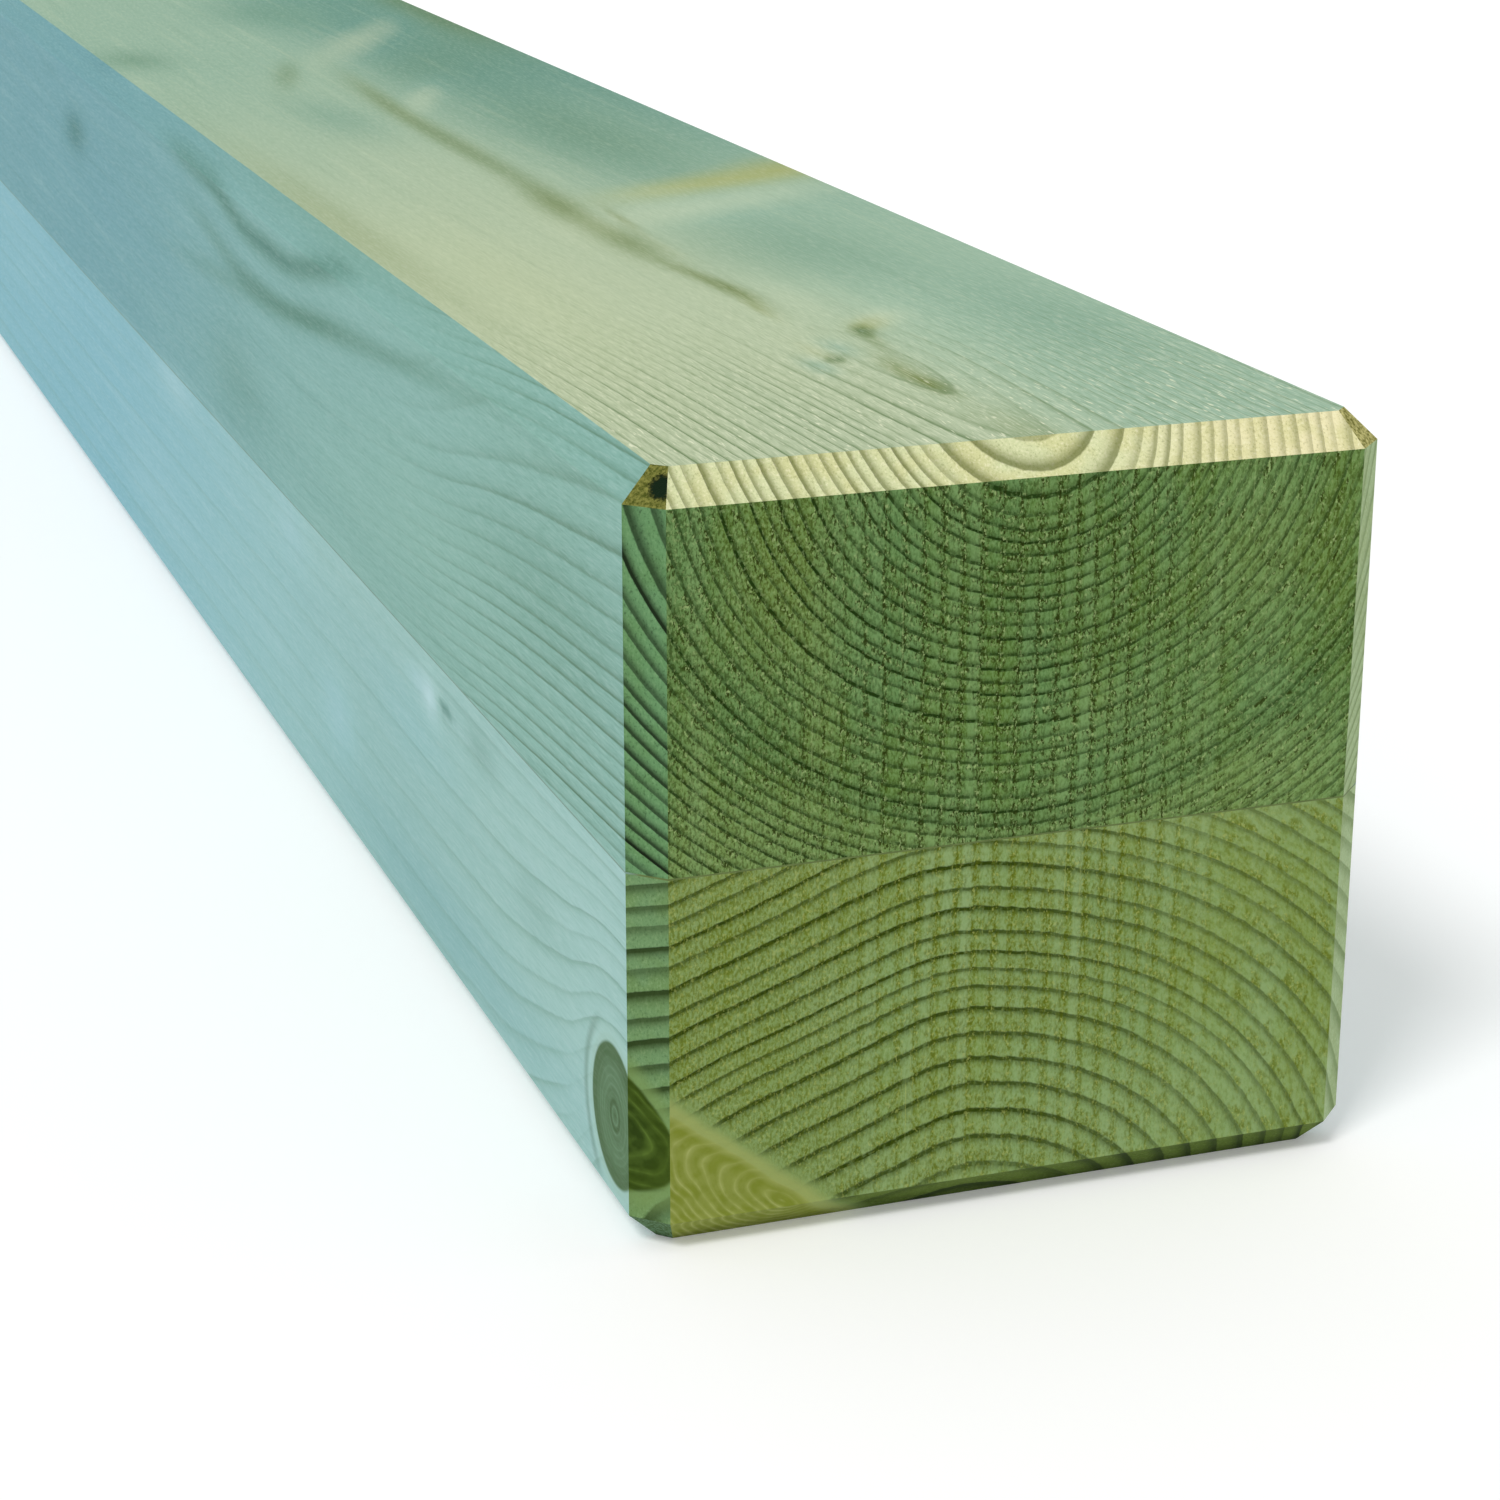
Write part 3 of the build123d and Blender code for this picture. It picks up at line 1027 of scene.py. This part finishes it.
def white_floor(name):
    """Pale matt floor, lifted to white for the camera where no shadow falls."""
    g = Graph(bpy.data.materials.new(name))
    matt = g.add("BsdfDiffuse", {"Color": srgb(*FLOOR_COLOUR)})
    lift = g.add("Emission", {"Color": WHITE, "Strength": g.times(g.seen(), FLOOR_LIFT)})
    return g.finish(g.add("AddShader", (matt, lift)))


# Finishes
END_KNOT = Look(
    knot=(124, 136, 48), knot_line=(168, 176, 104), rim=(124, 136, 44), halo=(134, 157, 94),
    knot_edge=(160, 170, 98), around=0.92, eye=0, collar=0, edge=0.7, own_lines=0.85, wedge=True,
    halo_end=1.42, edge_width=2.2,
)
END_UPPER = Look(
    clear=(98, 138, 80), olive=(93, 125, 48), rough=(86, 106, 24), pale=(126, 160, 102), late=(24, 52, 0),
    pit=(40, 52, 0), speck=(160, 184, 120), warm=(112, 130, 48), light=(138, 168, 100), shade=(58, 96, 44),
    torn=1, bright=0.75, groove=0.25, seam=0.28, step=0.12, jump=0.09, fray=0.22, least_line=0.3,
    right=0.28, left=0.34, tint=0.4, line=0.78, uneven=0.4, right_lines=0.72, cell=0.5, pitted=0.9,
    soft=0.66, band=26.4,
)
END_LOWER = END_KNOT.but(
    clear=(134, 164, 100), olive=(128, 152, 74), rough=(112, 128, 26), pale=(146, 172, 118),
    late=(46, 64, 0), pit=(88, 100, 8), speck=(182, 190, 106), warm=(120, 138, 40), light=(152, 178, 120),
    shade=(84, 120, 62), torn=0.8, bright=0.5, groove=0, seam=0.38, step=0.03, jump=0.03, fray=0.26,
    least_line=0.75, right=0.1, left=0.5, tint=0.9, line=0.8, uneven=0.3, right_lines=0.62, cell=0.7,
    pitted=0.55, soft=0.76, band=-9,
)
CHAMFER_KNOT = END_KNOT.but(
    knot=(38, 58, 0), knot_line=(100, 128, 50), rim=(54, 74, 0), halo=(118, 146, 84),
    knot_edge=(118, 146, 84), halo_end=1.3, edge_width=1, around=0.6, edge=0.3, own_lines=0.8, wedge=False,
)
CHAMFER_LEFT_UPPER = Look(
    clear=(102, 146, 98), olive=(96, 138, 84), pale=(126, 166, 116), late=(8, 26, 0),
    contrast=1, grainy=0.5,
)
CHAMFER_LEFT_LOWER = CHAMFER_KNOT.but(
    clear=(110, 146, 98), olive=(106, 138, 78), pale=(138, 168, 118),
    late=(30, 48, 0), contrast=0.92, grainy=0.4,
)
# Top head chamfer: cream wood, its paleness partly painted light, as if lit from above
CHAMFER_TOP_WITH_PAINTED_LIGHT = Look(
    clear=(216, 222, 172), right=(240, 232, 184), olive=(214, 212, 150), pale=(252, 248, 212),
    late=(88, 98, 28), contrast=0.74, contrast_right=0.44, grainy=0.34,
)
# Right head chamfers: green wood painted pale as painted light, as if lit from the right front
CHAMFER_RIGHT_WITH_PAINTED_LIGHT = Look(
    clear=(172, 196, 146), olive=(160, 182, 126), pale=(198, 214, 170),
    late=(84, 112, 44), contrast=0.6, grainy=0.3,
)
# Underside head chamfer: dark olive wood, darkened further as painted shade, as if in shadow under the post
CHAMFER_BELOW_WITH_PAINTED_SHADE = END_KNOT.but(
    clear=(96, 118, 44), olive=(80, 102, 28), pale=(126, 150, 76), late=(30, 50, 0),
    contrast=0.9, grainy=0.3,
)
SIDE_FACE = Look(
    knot=(82, 115, 78), knot_line=(104, 138, 104), rim=(54, 84, 36), halo=(166, 202, 192),
    knot_edge=(150, 184, 166), halo_end=1.3, edge_width=1, around=0.55, eye=0.9, collar=0.34, edge=0.25,
    own_lines=0.6, wedge=False, drift=0.4, right_lines=1, unseen=1, edge_shade=0,
)
TOP_FACE = SIDE_FACE.but(
    near=(184, 198, 162), far=(142, 176, 152), near_right=(156, 187, 161), far_right=(88, 140, 124),
    pale=(208, 220, 186), blue=(108, 162, 148), warm=(178, 180, 100), stain=(112, 126, 44),
    dark=(84, 124, 88), late=(96, 124, 74), shine=(238, 242, 210), contrast=0.9, distant=0.06, fade=90,
    drift=0.5, glint=0.7, grainy=0.3, right_lines=0.55, unseen=0,
)
LEFT_UPPER = SIDE_FACE.but(
    near=(139, 183, 171), far=(110, 161, 169), pale=(166, 206, 202), blue=(96, 156, 174),
    warm=(150, 182, 150), stain=(86, 128, 88), dark=(66, 120, 112), late=(58, 98, 58),
    shine=(186, 214, 208), contrast=0.8, distant=0.1, fade=120, glint=0.2, grainy=0.16, edge_shade=0.18,
)
LEFT_LOWER = SIDE_FACE.but(
    near=(160, 199, 193), far=(131, 184, 196), pale=(184, 216, 220), blue=(124, 180, 192),
    warm=(162, 190, 150), stain=(108, 148, 116), dark=(86, 134, 128), late=(104, 146, 124),
    shine=(206, 226, 224), contrast=0.44, distant=0.35, fade=130, glint=0.15, grainy=0.1,
)
UNDERSIDE = LEFT_LOWER.but(distant=0.8, contrast=0.7)

# Material slots of a board, by patch
SLOT_OF_PATCH = {
    END: 0, FOOT: 0, HEAD_LEFT: 1, HEAD_BROAD: 2, HEAD_RIGHT: 3, FACET_LEFT: 4, FACET_RIGHT: 4,
    LEFT_FACE: 5, LEFT_EDGE: 5, BROAD_FACE: 6, RIGHT_EDGE: 5, RIGHT_FACE: 5, GLUED: 7,
}
facet_material = facet_wood("corner facet")
glued_material = glued_wood("glued face")


def board_materials(level, broad, face, looks, head_knots, knots):
    """Materials of a board, in the order of its slots."""
    end, left, middle, right, side, planed = looks
    return (
        end_grain(level + " end grain", end, head_knots),
        cut_chamfer(level + " left head chamfer", left, head_knots),
        cut_chamfer(broad + " head chamfer", middle, head_knots),
        cut_chamfer(level + " right head chamfer", right, ()),
        facet_material,
        planed_face(level + " side faces", side, knots),
        planed_face(face, planed, knots),
        glued_material,
    )


UPPER_LOOKS = (END_UPPER, CHAMFER_LEFT_UPPER, CHAMFER_TOP_WITH_PAINTED_LIGHT, CHAMFER_RIGHT_WITH_PAINTED_LIGHT, LEFT_UPPER, TOP_FACE)
LOWER_LOOKS = (END_LOWER, CHAMFER_LEFT_LOWER, CHAMFER_BELOW_WITH_PAINTED_SHADE, CHAMFER_RIGHT_WITH_PAINTED_LIGHT, LEFT_LOWER, UNDERSIDE)
BOARDS = (
    (Board("dressed_upper", True, upper_radius, UPPER_PITH, UPPER_WIDTHS, UPPER_KNOTS, 3),
     "upper_lamination", "upper_wood",
     board_materials("upper", "top", "top face", UPPER_LOOKS, (), UPPER_KNOTS)),
    (Board("dressed_lower", False, lower_radius, LOWER_PITH, LOWER_WIDTHS, LOWER_KNOTS, 7),
     "lower_lamination", "lower_wood",
     board_materials("lower", "bottom", "underside", LOWER_LOOKS, (HEAD_KNOT,), LOWER_KNOTS)),
)
for board, node, slot, materials in BOARDS:
    piece = build_lamination(board)
    paint(piece, board)
    for material in materials:
        piece.data.materials.append(material)
    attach(piece, "root")
    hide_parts(node)

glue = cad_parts["glue_line"]
glue.data.materials.clear()
glue.data.materials.append(set_adhesive("adhesive"))

# Floor, white to the camera and able to take a shadow, just under the post
FLOOR_SIZE = 24.0
FLOOR_GAP = 0.02 * MM
bpy.ops.mesh.primitive_plane_add(size=FLOOR_SIZE, location=(0, 0, lower_low.z - FLOOR_GAP))
floor = bpy.context.object
floor.name = "floor"
floor.data.materials.append(white_floor("floor"))

# Light: even world light, white to the camera, and one soft lamp from above on the left
WORLD_LIGHT = 0.62
LAMP_STRENGTH = 1.35
LAMP_SPREAD = 16
LAMP_WAY = (0.55, 0.42, -1)
world = bpy.data.worlds.new("world")
bpy.context.scene.world = world
sky = Graph(world)
strength = sky.add("MapRange", {"Value": sky.seen(), "To Min": WORLD_LIGHT, "To Max": 1.0})
sky.finish(sky.add("Background", {"Color": WHITE, "Strength": strength}), "World")

lamp_data = bpy.data.lights.new("key", "SUN")
lamp_data.energy = LAMP_STRENGTH
lamp_data.angle = math.radians(LAMP_SPREAD)
lamp = bpy.data.objects.new("key", lamp_data)
lamp.rotation_euler = Vector(LAMP_WAY).to_track_quat("-Z", "Y").to_euler()
bpy.context.collection.objects.link(lamp)

# Camera at the photo's angle: its place in millimetres and its turn in degrees
CAMERA_PLACE = (-148.164, -1526.214, 176.11)
CAMERA_TURN = (71.3095, -0.109, -19.5766)
SENSOR = 36.0
LENS = 81.235
camera_data = bpy.data.cameras.new("camera")
camera_data.sensor_width = SENSOR
camera_data.lens = LENS
camera_data.clip_start = 0.01
camera = bpy.data.objects.new("camera", camera_data)
bpy.context.collection.objects.link(camera)
bpy.context.scene.camera = camera
camera.location = Vector(CAMERA_PLACE) * MM
camera.rotation_euler = [math.radians(angle) for angle in CAMERA_TURN]

bpy.context.scene.view_settings.view_transform = "Standard"
